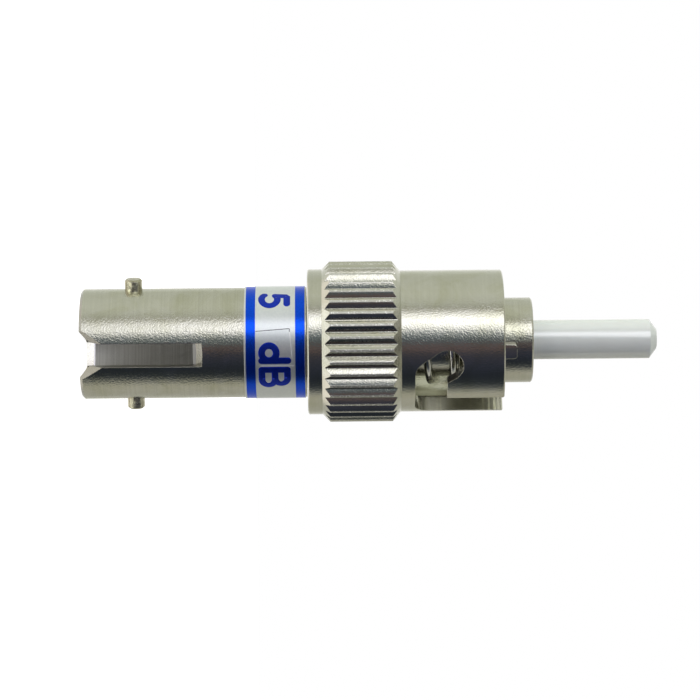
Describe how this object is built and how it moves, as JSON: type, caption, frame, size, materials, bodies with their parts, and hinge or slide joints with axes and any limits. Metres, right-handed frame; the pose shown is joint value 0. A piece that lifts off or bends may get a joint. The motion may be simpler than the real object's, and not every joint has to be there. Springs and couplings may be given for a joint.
{
  "type": "fibre optic attenuator",
  "caption": "Plug-in fibre attenuator: slotted receptacle with lugs, foil label, knurled bayonet nut on a spring, and a white ferrule plug.",
  "frame": {"origin": "centre of the receptacle's rim, the bottom of the bounding box when the part stands on its rim", "axes": "+Z along the common axis towards the ferrule's tip, -Y towards the key and the key slot, X along the two lugs"},
  "size_m": [0.0102, 0.0102, 0.0365],
  "materials": {
    "plated_barrel": "bright nickel plate",
    "plated_pin": "bright nickel plate",
    "foil_label": "satin foil with printed bands",
    "plated_nut": "bright nickel plate",
    "plated_key_body": "bright nickel plate",
    "plated_key": "bright nickel plate",
    "white_ceramic": "polished zirconia",
    "fibre_glass": "polished end",
    "collar_steel": "turned",
    "sleeve_ceramic": "ground zirconia",
    "holder_brass": "nickel plate",
    "washer_steel": "stamped",
    "spring_steel": "drawn wire"
  },
  "bodies": {
    "housing": {"receptacle_barrel": "plated_barrel", "lug_pin_left": "plated_pin", "lug_pin_right": "plated_pin", "rating_label": "foil_label", "key_body": "plated_key_body", "index_key": "plated_key", "ferrule": "white_ceramic", "attenuating_fibre": "fibre_glass", "ferrule_collar": "collar_steel", "alignment_sleeve": "sleeve_ceramic", "sleeve_holder": "holder_brass", "coupling_spring": "spring_steel"},
    "washer": {"thrust_washer": "washer_steel"},
    "nut": {"coupling_nut": "plated_nut"}
  },
  "joints": [
    {"name": "nut_push", "type": "slide", "parent": "housing", "child": "washer", "axis": [0, 0, 1], "range_m": [0, 0.0027], "stiffness_N_per_m": 2500, "springref_m": -0.001, "deforming": ["coupling_spring"]},
    {"name": "nut_turn", "type": "hinge", "parent": "washer", "child": "nut", "pos_m": [0, 0, 0.0148], "axis": [0, 0, 1], "continuous": true}
  ]
}
